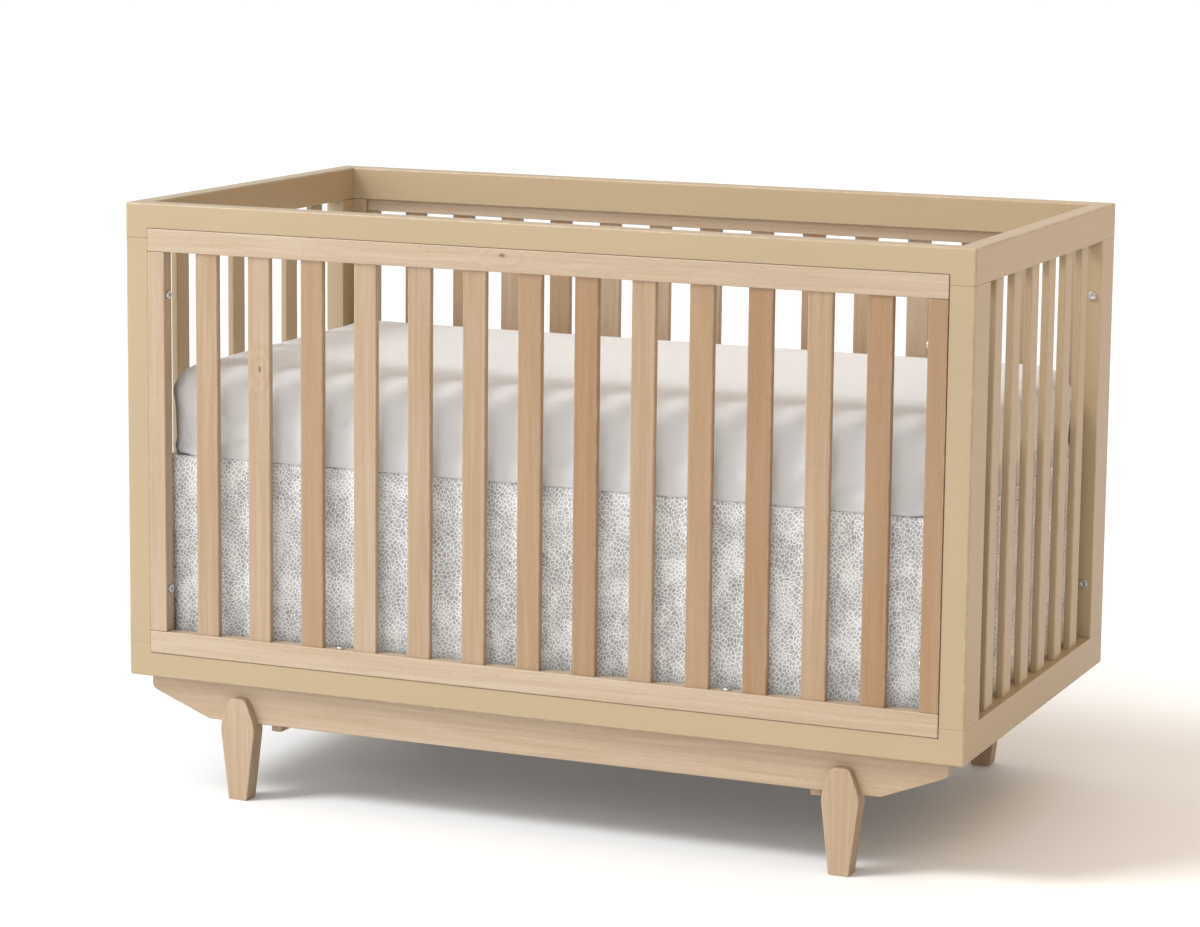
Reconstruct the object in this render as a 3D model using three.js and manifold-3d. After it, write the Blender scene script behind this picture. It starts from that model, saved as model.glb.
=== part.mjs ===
// Slatted baby crib: a painted outer frame, natural beech side panels, a beech base on four
// tapered legs, and an adjustable mattress support with a mattress, a fitted sheet and a skirt.
// Millimetres. +X along the crib, -Y to the front, +Z up. The origin is on the floor, below the
// middle of the crib.
import * as THREE from 'three';
import { mergeVertices } from 'three/addons/utils/BufferGeometryUtils.js';
import Module from 'manifold-3d';

const wasm = await Module();
wasm.setup();

// ---- Driving dimensions ---------------------------------------------------------------------

// Painted outer frame
const crib_length = 1400;
const crib_depth = 765;
const frame_height = 763;
const frame_thickness = 32;
const frame_rail_height = 55;
const post_front_width = 55;
const post_end_width = 74;

// Beech side panels, set into a rebate of the painted frame
const panel_border = 40;
const panel_thickness = 24;
const panel_proud = 2;
const panel_reveal = 0.8;
const panel_rail_height = 36;
const panel_stile_width = 30;
const side_slat_count = 13;
const side_slat_setback = 4;

// Slats, the same stock on all four sides
const slat_width = 39;
const slat_thickness = 12;
const tenon_length = 10;
const end_slat_count = 6;
const end_slat_setback = 8;

// Base
const floor_clearance = 189;
const beam_thickness = 22;
const beam_height = 65;
const beam_setback = 22;
const beam_end_inset = 29;
const beam_end_height = 24;
const beam_slope_run = 104;
const beam_corner_radius = 9;
const cross_rail_width = 18;
const cross_rail_height = 60;
const cross_rail_drop = 20;
const cross_rail_inset = 243;

// Legs, notched over the beams
const leg_inset = 192;
const leg_proud = 15;
const leg_thickness = 30;
const leg_top_drop = 24;
const leg_shoulder_drop = 67;
const leg_top_width = 28;
const leg_shoulder_width = 62;
const leg_foot_width = 30;
const leg_foot_chamfer = 3;

// Mattress support, in its highest position
const deck_height = 357;
const support_gap = 5;
const angle_height = 22;
const angle_flange = 24;
const angle_gauge = 2.4;
const hanger_width = 30;
const hanger_height = 47;
const hanger_gauge = 3;
const hanger_bolt_rise = 17;
const strap_width = 20;
const strap_gauge = 2;
const long_strap_count = 4;
const cross_strap_count = 9;
const position_count = 4;
const position_step = 85;
const insert_radius = 4;
const insert_depth = 14;

// Mattress, fitted sheet and skirt
const mattress_end_clearance = 8;
const mattress_side_clearance = 5.5;
const mattress_thickness = 142;
const mattress_corner_radius = 58;
const mattress_edge_radius = 34;
const sheet_thickness = 1.2;
const sheet_opening_margin = 70;
const skirt_drop = 335;
const skirt_thickness = 1.6;
const skirt_corner_slit = 50;

// Bolts through the front panel's bottom rail, each between this slat and the next, counted
// from its own end of the panel
const rail_bolt_slat = 3;
const bolt_head_radius = 7;
const bolt_head_height = 3.5;
const bolt_shank_radius = 3;
const bolt_length = 52;

// Clearances
const joint_gap = 0.3;
const overlap = 1;
const curve_steps = 6;

// ---- Places worked out from the dimensions ---------------------------------------------------

const half_length = crib_length / 2;
const half_depth = crib_depth / 2;
const frame_bottom = floor_clearance;
const frame_top = frame_bottom + frame_height;
const inner_half_length = half_length - frame_thickness;
const inner_half_depth = half_depth - frame_thickness;
const post_bottom = frame_bottom + frame_rail_height;
const post_top = frame_top - frame_rail_height;
const panel_half_length = half_length - panel_border;
const panel_bottom = frame_bottom + panel_border;
const panel_top = frame_top - panel_border;
const panel_face = half_depth + panel_proud;
const panel_back = panel_face - panel_thickness;
const slat_bottom = panel_bottom + panel_rail_height;
const slat_top = panel_top - panel_rail_height;
const deck_top = frame_bottom + deck_height;
const mattress_bottom = deck_top + joint_gap;
const mattress_length = 2 * (inner_half_length - mattress_end_clearance);
const mattress_width = 2 * (inner_half_depth - mattress_side_clearance);
const beam_face = half_depth - beam_setback;
const beam_back = beam_face - beam_thickness;
const sides = [['front', -1], ['rear', 1]];
const ends = [['left', -1], ['right', 1]];

// ---- Materials -------------------------------------------------------------------------------

function finish(red, green, blue, roughness, metalness) {
  return () => new THREE.MeshStandardMaterial({
    color: new THREE.Color(red, green, blue), roughness, metalness,
  });
}

const paint = finish(0.66, 0.52, 0.35, 0.45, 0);
const beech = finish(0.68, 0.5, 0.31, 0.55, 0);
const steel = finish(0.62, 0.63, 0.64, 0.35, 0.9);
const cotton = finish(0.86, 0.84, 0.82, 0.9, 0);
const foam = finish(0.9, 0.88, 0.84, 0.95, 0);
const print = finish(0.6, 0.62, 0.63, 0.9, 0);

// ---- Shape helpers ---------------------------------------------------------------------------

function block(low, high) {
  const size = high.map((value, axis) => value - low[axis]);
  const geometry = new THREE.BoxGeometry(...size);
  geometry.translate(...low.map((value, axis) => value + size[axis] / 2));
  return geometry;
}

// A block whose depth is given as distances from the middle, on the front or the rear side.
function sideBlock(side, x_range, distance_range, z_range) {
  const y_range = distance_range.map((distance) => side * distance).sort((a, b) => a - b);
  return block([x_range[0], y_range[0], z_range[0]], [x_range[1], y_range[1], z_range[1]]);
}

// The same, on the left or the right end.
function endBlock(end, distance_range, y_range, z_range) {
  const x_range = distance_range.map((distance) => end * distance).sort((a, b) => a - b);
  return block([x_range[0], y_range[0], z_range[0]], [x_range[1], y_range[1], z_range[1]]);
}

function plate(points, bottom, height) {
  const shape = new THREE.Shape(points.map(([x, y]) => new THREE.Vector2(x, y)));
  const geometry = new THREE.ExtrudeGeometry(shape, { depth: height, bevelEnabled: false });
  geometry.translate(0, 0, bottom);
  return geometry;
}

// A board standing upright in the X-Z plane, with its outline drawn in X and Z.
function standingBoard(shape, side, outer, thickness) {
  const geometry = new THREE.ExtrudeGeometry(shape, {
    depth: thickness, bevelEnabled: false, curveSegments: curve_steps,
  });
  geometry.rotateX(Math.PI / 2);
  geometry.translate(0, side < 0 ? thickness - outer : outer, 0);
  return geometry;
}

function rod(radius, start, end, axis) {
  const geometry = new THREE.CylinderGeometry(radius, radius, end - start, 16);
  geometry.translate(0, (start + end) / 2, 0);
  if (axis === 'x') geometry.rotateZ(-Math.PI / 2);
  if (axis === 'z') geometry.rotateX(Math.PI / 2);
  return geometry;
}

function toSolid(geometry) {
  const bare = geometry.clone();
  bare.deleteAttribute('normal');
  bare.deleteAttribute('uv');
  const merged = mergeVertices(bare, 1e-4);
  return new wasm.Manifold(new wasm.Mesh({
    numProp: 3,
    vertProperties: new Float32Array(merged.attributes.position.array),
    triVerts: new Uint32Array(merged.index.array),
  }));
}

function toGeometry(solid) {
  const mesh = solid.getMesh();
  const geometry = new THREE.BufferGeometry();
  geometry.setAttribute('position', new THREE.BufferAttribute(mesh.vertProperties, 3));
  geometry.setIndex(new THREE.BufferAttribute(mesh.triVerts, 1));
  geometry.computeVertexNormals();
  return geometry;
}

function cut(geometry, tools) {
  return toGeometry(tools.reduce((solid, tool) => solid.subtract(toSolid(tool)), toSolid(geometry)));
}

function join(geometries) {
  return toGeometry(geometries.map(toSolid).reduce((solid, next) => solid.add(next)));
}

function named(name, geometry, material) {
  const mesh = new THREE.Mesh(geometry, material());
  mesh.name = name;
  return mesh;
}

function numbered(stem, index) {
  return `${stem}_${String(index + 1).padStart(2, '0')}`;
}

// The middles of equal pieces that leave equal gaps between -half_span and +half_span.
function evenMiddles(count, width, half_span) {
  const gap = (2 * half_span - count * width) / (count + 1);
  return Array.from({ length: count }, (_, i) => -half_span + (i + 1) * gap + (i + 0.5) * width);
}

// ---- Painted frame ---------------------------------------------------------------------------

// Rails that meet at the corners are mitred, each pulled back by its share of the joint gap.
const mitre_pull = joint_gap / Math.SQRT2;

function panelPocket(side) {
  const reach = panel_half_length + panel_reveal;
  return sideBlock(side, [-reach, reach], [panel_back - joint_gap, panel_face + overlap],
    [panel_bottom - panel_reveal, panel_top + panel_reveal]);
}

function sideRail(side, bottom) {
  const outer = half_length - mitre_pull;
  const inner = inner_half_length - mitre_pull;
  const outline = side < 0
    ? [[-outer, -half_depth], [outer, -half_depth], [inner, -inner_half_depth],
      [-inner, -inner_half_depth]]
    : [[-inner, inner_half_depth], [inner, inner_half_depth], [outer, half_depth],
      [-outer, half_depth]];
  return plate(outline, bottom, frame_rail_height);
}

function endRail(end, bottom) {
  const outer = half_depth - mitre_pull;
  const inner = inner_half_depth - mitre_pull;
  const outline = end < 0
    ? [[-half_length, outer], [-half_length, -outer], [-inner_half_length, -inner],
      [-inner_half_length, inner]]
    : [[half_length, -outer], [half_length, outer], [inner_half_length, inner],
      [inner_half_length, -inner]];
  return plate(outline, bottom, frame_rail_height);
}

const side_slat_middles = evenMiddles(side_slat_count, slat_width,
  panel_half_length - panel_stile_width);
const rail_bolt_x = (side_slat_middles[rail_bolt_slat - 1] + side_slat_middles[rail_bolt_slat]) / 2;
const rail_bolt_places = [rail_bolt_x, -rail_bolt_x];
const rail_bolt_y = -(panel_face + panel_back) / 2;

function boltHole(x, bottom, top) {
  const hole = rod(bolt_shank_radius + joint_gap, bottom, top, 'z');
  hole.translate(x, rail_bolt_y, 0);
  return hole;
}

function endMortises(end) {
  const clear = joint_gap;
  const outer = half_length - end_slat_setback + clear;
  const inner = half_length - end_slat_setback - slat_thickness - clear;
  const reach = tenon_length + clear;
  return endSlatMiddles().map((y) => endBlock(end, [inner, outer],
    [y - slat_width / 2 - clear, y + slat_width / 2 + clear],
    [post_bottom - reach, post_top + reach]));
}

function cornerPost(side, end) {
  const gap = joint_gap;
  const x = (distance) => end * (half_length - distance);
  const y = (distance) => side * (half_depth - distance);
  const outline = [[x(0), y(0)], [x(post_front_width), y(0)],
    [x(post_front_width), y(frame_thickness)], [x(frame_thickness), y(frame_thickness)],
    [x(frame_thickness), y(post_end_width)], [x(0), y(post_end_width)]];
  if (side * end < 0) outline.reverse();
  const post = plate(outline, post_bottom + gap, post_top - post_bottom - 2 * gap);
  return cut(post, [panelPocket(side), ...insertHoles(side, end)]);
}

const hanger_middle = half_depth - (frame_thickness + post_end_width) / 2;
const hanger_bottom = deck_top - strap_gauge * 2 - hanger_height;

// Threaded inserts for the support's bolts, one for each height it can be set to.
function insertHoles(side, end) {
  return Array.from({ length: position_count }, (_, i) => {
    const reach = [inner_half_length - overlap, inner_half_length + insert_depth];
    const hole = rod(insert_radius, reach[0], reach[1], 'x');
    if (end < 0) hole.rotateZ(Math.PI);
    hole.translate(0, side * hanger_middle, hanger_bottom + hanger_bolt_rise - i * position_step);
    return hole;
  });
}

function paintedFrame() {
  const group = new THREE.Group();
  for (const [side_name, side] of sides) {
    const pocket = panelPocket(side);
    const bolt_holes = side < 0
      ? rail_bolt_places.map((x) => boltHole(x, slat_bottom - bolt_length - joint_gap, slat_bottom))
      : [];
    group.add(named(`bottom_rail_${side_name}`,
      cut(sideRail(side, frame_bottom), [pocket, ...bolt_holes]), paint));
    group.add(named(`top_rail_${side_name}`, cut(sideRail(side, post_top), [pocket]), paint));
    for (const [end_name, end] of ends) {
      group.add(named(`post_${side_name}_${end_name}`, cornerPost(side, end), paint));
    }
  }
  for (const [end_name, end] of ends) {
    const mortises = endMortises(end);
    group.add(named(`bottom_rail_${end_name}`, cut(endRail(end, frame_bottom), mortises), paint));
    group.add(named(`top_rail_${end_name}`, cut(endRail(end, post_top), mortises), paint));
  }
  return group;
}

// ---- Painted end slats -----------------------------------------------------------------------

function endSlatMiddles() {
  return evenMiddles(end_slat_count, slat_width, half_depth - post_end_width);
}

function endSlats() {
  const group = new THREE.Group();
  const outer = half_length - end_slat_setback;
  for (const [end_name, end] of ends) {
    endSlatMiddles().forEach((y, i) => {
      const slat = endBlock(end, [outer - slat_thickness, outer],
        [y - slat_width / 2, y + slat_width / 2],
        [post_bottom - tenon_length, post_top + tenon_length]);
      group.add(named(numbered(`end_slat_${end_name}`, i), slat, paint));
    });
  }
  return group;
}

// ---- Beech side panels -----------------------------------------------------------------------

const slat_face = panel_face - side_slat_setback;

function panelRail(side, bottom) {
  return sideBlock(side, [-panel_half_length, panel_half_length], [panel_back, panel_face],
    [bottom, bottom + panel_rail_height]);
}

function panelStile(side, end, gap) {
  return sideBlock(side,
    [panel_half_length - panel_stile_width, panel_half_length].map((x) => end * x)
      .sort((a, b) => a - b),
    [panel_back, panel_face], [slat_bottom + gap, slat_top - gap]);
}

function sideSlat(side, x, tenon) {
  return sideBlock(side, [x - slat_width / 2, x + slat_width / 2],
    [slat_face - slat_thickness, slat_face], [slat_bottom - tenon, slat_top + tenon]);
}

function sideMortises(side) {
  const clear = joint_gap;
  return side_slat_middles.map((x) => sideBlock(side,
    [x - slat_width / 2 - clear, x + slat_width / 2 + clear],
    [slat_face - slat_thickness - clear, slat_face + clear],
    [slat_bottom - tenon_length - clear, slat_top + tenon_length + clear]));
}

// The front panel unbolts, and its pieces are separate.
function frontPanel() {
  const group = new THREE.Group();
  const mortises = sideMortises(-1);
  const bolt_holes = rail_bolt_places.map((x) => boltHole(x, panel_bottom - overlap,
    slat_bottom + overlap));
  group.add(named('front_panel_top_rail',
    cut(panelRail(-1, slat_top), mortises), beech));
  group.add(named('front_panel_bottom_rail',
    cut(panelRail(-1, panel_bottom), [...mortises, ...bolt_holes]), beech));
  for (const [end_name, end] of ends) {
    group.add(named(`front_panel_stile_${end_name}`, panelStile(-1, end, joint_gap), beech));
  }
  side_slat_middles.forEach((x, i) => {
    group.add(named(numbered('front_slat', i), sideSlat(-1, x, tenon_length), beech));
  });
  return group;
}

// The rear panel is the same lattice, glued into one piece.
function rearPanel() {
  const pieces = [panelRail(1, slat_top), panelRail(1, panel_bottom)];
  for (const [, end] of ends) {
    pieces.push(panelStile(1, end, -overlap));
  }
  for (const x of side_slat_middles) {
    pieces.push(sideSlat(1, x, overlap));
  }
  return named('rear_panel', join(pieces), beech);
}

function railBolts() {
  const group = new THREE.Group();
  const seat = slat_bottom + joint_gap;
  rail_bolt_places.forEach((x, i) => {
    const head = rod(bolt_head_radius, seat, seat + bolt_head_height, 'z');
    const shank = rod(bolt_shank_radius, slat_bottom - bolt_length, seat + overlap, 'z');
    const bolt = join([head, shank]);
    bolt.translate(x, rail_bolt_y, 0);
    group.add(named(`panel_bolt_${ends[i][0]}`, bolt, steel));
  });
  return group;
}

// ---- Base ------------------------------------------------------------------------------------

function beamOutline() {
  const half = half_length - beam_end_inset;
  const top = frame_bottom - joint_gap;
  const corner = frame_bottom - beam_end_height;
  const bottom = frame_bottom - beam_height;
  const slope = (beam_height - beam_end_height) / beam_slope_run;
  const shape = new THREE.Shape();
  shape.moveTo(-half, top);
  shape.lineTo(-half, corner + beam_corner_radius);
  shape.quadraticCurveTo(-half, corner, -half + beam_corner_radius,
    corner - beam_corner_radius * slope);
  shape.lineTo(-half + beam_slope_run, bottom);
  shape.lineTo(half - beam_slope_run, bottom);
  shape.lineTo(half - beam_corner_radius, corner - beam_corner_radius * slope);
  shape.quadraticCurveTo(half, corner, half, corner + beam_corner_radius);
  shape.lineTo(half, top);
  return shape;
}

function legOutline() {
  const top = frame_bottom - leg_top_drop;
  const shoulder = frame_bottom - leg_shoulder_drop;
  const foot_side = leg_foot_width / 2 + leg_foot_chamfer / 2;
  const right_side = [[leg_foot_width / 2 - leg_foot_chamfer / 2, 0],
    [foot_side, leg_foot_chamfer], [leg_shoulder_width / 2, shoulder],
    [leg_top_width / 2, top]];
  const left_side = right_side.map(([x, z]) => [-x, z]).reverse();
  return new THREE.Shape([...right_side, ...left_side].map(([x, z]) => new THREE.Vector2(x, z)));
}

function leg(side, end) {
  const face = beam_face + leg_proud;
  const reach = leg_shoulder_width;
  const notch = sideBlock(side, [-reach, reach],
    [face - leg_thickness - overlap, beam_face + joint_gap],
    [frame_bottom - beam_height - joint_gap, frame_bottom]);
  const geometry = cut(standingBoard(legOutline(), side, face, leg_thickness), [notch]);
  geometry.translate(end * (half_length - leg_inset), 0, 0);
  return geometry;
}

function base() {
  const group = new THREE.Group();
  for (const [side_name, side] of sides) {
    group.add(named(`base_beam_${side_name}`,
      standingBoard(beamOutline(), side, beam_face, beam_thickness), beech));
    for (const [end_name, end] of ends) {
      group.add(named(`leg_${side_name}_${end_name}`, leg(side, end), beech));
    }
  }
  const reach = beam_back - joint_gap;
  const rail_top = frame_bottom - cross_rail_drop;
  for (const [end_name, end] of ends) {
    const middle = half_length - cross_rail_inset;
    group.add(named(`base_cross_rail_${end_name}`, endBlock(end,
      [middle - cross_rail_width / 2, middle + cross_rail_width / 2], [-reach, reach],
      [rail_top - cross_rail_height, rail_top]), beech));
  }
  return group;
}

// ---- Mattress support ------------------------------------------------------------------------

const deck_bottom = deck_top - 2 * strap_gauge;
const angle_top = deck_bottom - joint_gap;
const angle_half_length = inner_half_length - support_gap;
const angle_half_width = inner_half_depth - support_gap;

// A welded ring of steel angle with its flange on top and a hanger plate at each corner.
function supportFrame() {
  const low = angle_top - angle_height;
  const ring = block([-angle_half_length, -angle_half_width, low],
    [angle_half_length, angle_half_width, angle_top]);
  const inside = (inset, bottom, top) => block(
    [-angle_half_length + inset, -angle_half_width + inset, bottom],
    [angle_half_length - inset, angle_half_width - inset, top]);
  const hollow_ring = cut(ring, [inside(angle_gauge, low - overlap, angle_top - angle_gauge),
    inside(angle_flange, low - overlap, angle_top + overlap)]);
  const pieces = [hollow_ring];
  for (const [, side] of sides) {
    for (const [, end] of ends) {
      pieces.push(hanger(side, end));
    }
  }
  return named('support_frame', join(pieces), steel);
}

function hanger(side, end) {
  const middle = side * hanger_middle;
  const plate_low = hanger_bottom;
  const strip = endBlock(end, [angle_half_length - overlap, angle_half_length + hanger_gauge],
    [middle - hanger_width / 2, middle + hanger_width / 2], [plate_low, angle_top]);
  const hole = rod(insert_radius, angle_half_length - 2 * overlap,
    angle_half_length + hanger_gauge + overlap, 'x');
  if (end < 0) hole.rotateZ(Math.PI);
  hole.translate(0, middle, plate_low + hanger_bolt_rise);
  return cut(strip, [hole]);
}

// Flat steel straps welded into a grid, which carries the mattress.
function supportDeck() {
  const half_x = angle_half_length - angle_gauge;
  const half_y = angle_half_width - angle_gauge;
  const half_strap = strap_width / 2;
  const pieces = [];
  for (const y of evenMiddles(long_strap_count, strap_width, half_y)) {
    pieces.push(block([-half_x, y - half_strap, deck_bottom],
      [half_x, y + half_strap, deck_bottom + strap_gauge + joint_gap]));
  }
  for (const x of evenMiddles(cross_strap_count, strap_width, half_x)) {
    pieces.push(block([x - half_strap, -half_y, deck_bottom + strap_gauge],
      [x + half_strap, half_y, deck_top]));
  }
  return named('support_deck', join(pieces), steel);
}

// ---- Mattress, fitted sheet and skirt --------------------------------------------------------

function roundedRectangle(half_x, half_y, radius) {
  const shape = new THREE.Shape();
  shape.moveTo(half_x, -half_y + radius);
  shape.absarc(half_x - radius, half_y - radius, radius, 0, Math.PI / 2);
  shape.absarc(-half_x + radius, half_y - radius, radius, Math.PI / 2, Math.PI);
  shape.absarc(-half_x + radius, -half_y + radius, radius, Math.PI, Math.PI * 1.5);
  shape.absarc(half_x - radius, -half_y + radius, radius, Math.PI * 1.5, Math.PI * 2);
  return shape;
}

// A pad with rounded corners and rounded edges, grown by a margin on every side.
function pad(margin) {
  const edge = mattress_edge_radius + margin;
  const shape = roundedRectangle(mattress_length / 2 - mattress_edge_radius,
    mattress_width / 2 - mattress_edge_radius, mattress_corner_radius - mattress_edge_radius);
  const geometry = new THREE.ExtrudeGeometry(shape, {
    depth: mattress_thickness - 2 * mattress_edge_radius,
    bevelEnabled: true,
    bevelSize: edge,
    bevelThickness: edge,
    bevelSegments: 4,
    curveSegments: curve_steps,
  });
  geometry.translate(0, 0, pad_bottom + mattress_edge_radius);
  return geometry;
}

const pad_bottom = mattress_bottom + sheet_thickness + joint_gap;

function fittedSheet() {
  const opening_half_x = mattress_length / 2 - sheet_opening_margin;
  const opening_half_y = mattress_width / 2 - sheet_opening_margin;
  const opening = block([-opening_half_x, -opening_half_y, mattress_bottom - overlap],
    [opening_half_x, opening_half_y, pad_bottom + overlap]);
  return cut(pad(joint_gap + sheet_thickness), [pad(joint_gap), opening]);
}

function bedding() {
  const group = new THREE.Group();
  group.add(named('mattress', pad(0), foam));
  group.add(named('fitted_sheet', fittedSheet(), cotton));
  return group;
}

function skirt() {
  const group = new THREE.Group();
  const top = deck_bottom;
  const bottom = top - skirt_drop;
  const side_middle = (inner_half_depth + angle_half_width) / 2;
  const end_middle = (inner_half_length + angle_half_length) / 2;
  const half = skirt_thickness / 2;
  const side_reach = angle_half_length;
  const end_reach = hanger_middle - hanger_width / 2 - skirt_corner_slit / 2;
  for (const [name, side] of sides) {
    group.add(named(`skirt_${name}`, sideBlock(side, [-side_reach, side_reach],
      [side_middle - half, side_middle + half], [bottom, top]), print));
  }
  for (const [name, end] of ends) {
    group.add(named(`skirt_${name}`, endBlock(end, [end_middle - half, end_middle + half],
      [-end_reach, end_reach], [bottom, top]), print));
  }
  return group;
}

// ---- The whole crib --------------------------------------------------------------------------

const crib = new THREE.Group();
crib.add(paintedFrame(), endSlats(), frontPanel(), rearPanel(), railBolts(), base(),
  supportFrame(), supportDeck(), bedding(), skirt());

export default crib;
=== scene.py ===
from math import cos, pi, radians, sin

import bmesh
import bpy
import numpy as np
from mathutils import Euler, Matrix, Vector
from mathutils.bvhtree import BVHTree


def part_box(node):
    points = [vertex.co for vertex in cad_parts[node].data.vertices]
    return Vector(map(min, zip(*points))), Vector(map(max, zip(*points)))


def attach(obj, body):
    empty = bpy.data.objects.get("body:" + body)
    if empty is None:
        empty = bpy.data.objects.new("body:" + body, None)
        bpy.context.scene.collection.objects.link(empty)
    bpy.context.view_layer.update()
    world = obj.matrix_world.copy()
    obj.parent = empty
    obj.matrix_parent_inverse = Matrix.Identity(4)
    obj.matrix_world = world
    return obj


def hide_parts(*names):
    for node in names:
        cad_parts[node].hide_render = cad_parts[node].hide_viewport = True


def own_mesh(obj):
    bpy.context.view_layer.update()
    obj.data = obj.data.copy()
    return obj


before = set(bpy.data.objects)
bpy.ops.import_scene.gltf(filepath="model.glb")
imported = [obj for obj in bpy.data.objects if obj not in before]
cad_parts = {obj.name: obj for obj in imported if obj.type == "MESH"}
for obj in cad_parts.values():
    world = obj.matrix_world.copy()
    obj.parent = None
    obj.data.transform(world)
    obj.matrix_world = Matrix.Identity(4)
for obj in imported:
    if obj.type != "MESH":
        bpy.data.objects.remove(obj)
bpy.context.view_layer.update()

# ---- The painted frame -----------------------------------------------------------------------
# A ring of rail at the top and another at the bottom, mitred and glued so that the joints don't
# show, with four L-shaped corner posts between them. Solid wood, sanded round at the corners and
# sprayed in satin sand paint. The posts meet the rings in a hairline seam.

corner_radius = 0.0042
top_edge_radius = 0.0035
seam_edge_radius = 0.0004
post_edge_radius = 0.0018
corner_steps = 7
rail_width = 0.032
paint_colour = (0.388, 0.292, 0.179, 1)
rubbed_paint_colour = (0.49, 0.395, 0.28, 1)
satin_roughness = 0.42
smooth_angle = radians(35)
edge_face_width = 0.0032


def place(name, mesh):
    piece = bpy.data.objects.new(name, mesh)
    bpy.context.scene.collection.objects.link(piece)
    return piece


def mesh_of(name, points, faces):
    mesh = bpy.data.meshes.new(name)
    mesh.from_pydata([tuple(p) for p in points], [], faces)
    mesh.update()
    return mesh


def sand_smooth(piece):
    """Smooth over the rounded edges and flat on the faces, with a mark where hands rub."""
    mesh = piece.data
    bm = bmesh.new()
    bm.from_mesh(mesh)
    bmesh.ops.recalc_face_normals(bm, faces=bm.faces)
    for face in bm.faces:
        face.smooth = True
    for edge in bm.edges:
        edge.smooth = len(edge.link_faces) != 2 or edge.calc_face_angle(0) < smooth_angle
    bm.to_mesh(mesh)
    rubbed = []
    for face in bm.faces:
        longest = max(edge.calc_length() for edge in face.edges)
        slanted = max(abs(part) for part in face.normal) < 0.995
        rubbed.append(float(slanted and face.calc_area() < longest * edge_face_width))
    bm.free()
    mark = mesh.attributes.new("rubbed", "FLOAT", "FACE")
    mark.data.foreach_set("value", rubbed)
    weighted = piece.modifiers.new("flat_faces", "WEIGHTED_NORMAL")
    weighted.keep_sharp = True
    return piece


def carved(piece, *cutters):
    for cutter in cutters:
        cut = piece.modifiers.new("cut", "BOOLEAN")
        cut.object, cut.operation, cut.solver = cutter, "DIFFERENCE", "EXACT"
    shown = piece.evaluated_get(bpy.context.evaluated_depsgraph_get())
    mesh = bpy.data.meshes.new_from_object(shown)
    piece.modifiers.clear()
    piece.data = mesh
    for cutter in cutters:
        bpy.data.objects.remove(cutter)
    return piece


def placed_from(bm, name):
    mesh = bpy.data.meshes.new(name)
    bm.to_mesh(mesh)
    bm.free()
    return place(name, mesh)


def block(name, low, high):
    bm = bmesh.new()
    bmesh.ops.create_cube(bm, size=1)
    low, high = Vector(low), Vector(high)
    bmesh.ops.scale(bm, vec=high - low, verts=bm.verts)
    bmesh.ops.translate(bm, vec=(low + high) / 2, verts=bm.verts)
    return placed_from(bm, name)


def ring_outline(half_x, half_y, radius):
    points = []
    for i, (along_x, along_y) in enumerate(((1, -1), (1, 1), (-1, 1), (-1, -1))):
        middle = Vector((along_x * (half_x - radius), along_y * (half_y - radius)))
        for step in range(corner_steps):
            turn = radians(90) * (i - 1 + step / (corner_steps - 1))
            points.append(middle + radius * Vector((cos(turn), sin(turn))))
    return points


def section_corner(inset, z, radius, start):
    steps = 5
    return [(inset + radius * cos(radians(start + 90 * i / (steps - 1))),
             z + radius * sin(radians(start + 90 * i / (steps - 1)))) for i in range(steps)]


def rail_ring(name, low, high, rounds):
    """A closed ring. rounds are its section's radii: outer top and low, inner low and top."""
    outer_top, outer_low, inner_low, inner_top = rounds
    section = section_corner(outer_top, high - outer_top, outer_top, 90)
    section += section_corner(outer_low, low + outer_low, outer_low, 180)
    section += section_corner(rail_width - inner_low, low + inner_low, inner_low, 270)
    section += section_corner(rail_width - inner_top, high - inner_top, inner_top, 0)
    points = []
    for inset, z in section:
        outline = ring_outline(half_x - inset, half_y - inset, max(corner_radius - inset, 0.001))
        points += [(x, y, z) for x, y in outline]
    count, around = len(section), 4 * corner_steps
    faces = []
    for i in range(count):
        for j in range(around):
            a, b = i * around + j, i * around + (j + 1) % around
            c, d = (i + 1) % count * around + (j + 1) % around, (i + 1) % count * around + j
            faces.append((a, b, c, d))
    return place(name, mesh_of(name, points, faces))


half_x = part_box("top_rail_right")[1].x
half_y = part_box("top_rail_rear")[1].y
panel_low, panel_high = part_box("front_panel_bottom_rail")[0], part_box("front_panel_top_rail")[1]
panel_gap = 0.0008
panel_back_gap = 0.0003
cutter_overrun = 0.01


def panel_pocket(side):
    near, far = -panel_high.y - panel_back_gap, half_y + cutter_overrun
    low_y, high_y = sorted((side * near, side * far))
    return block("pocket", (panel_low.x - panel_gap, low_y, panel_low.z - panel_gap),
                 (panel_high.x + panel_gap, high_y, panel_high.z + panel_gap))


def plugged(tree, node, feeds):
    """Links each socket that is given as a socket and sets the others."""
    for key, value in feeds.items():
        if isinstance(value, bpy.types.NodeSocket):
            tree.links.new(value, node.inputs[key])
        else:
            node.inputs[key].default_value = value
    return node


def wire(tree, kind, feeds=None, **settings):
    node = tree.nodes.new("ShaderNode" + kind)
    for key, value in settings.items():
        setattr(node, key, value)
    return plugged(tree, node, feeds or {})


def reckon(tree, operation, first, second=0.0, clamped=False):
    node = wire(tree, "Math", {0: first, 1: second}, operation=operation, use_clamp=clamped)
    return node.outputs[0]


def plus(tree, first, second, clamped=False):
    return reckon(tree, "ADD", first, second, clamped)


def times(tree, first, second, clamped=False):
    return reckon(tree, "MULTIPLY", first, second, clamped)


def stretched(tree, place_socket, factors):
    return wire(tree, "VectorMath", {0: place_socket, 1: factors}, operation="MULTIPLY").outputs[0]


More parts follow.
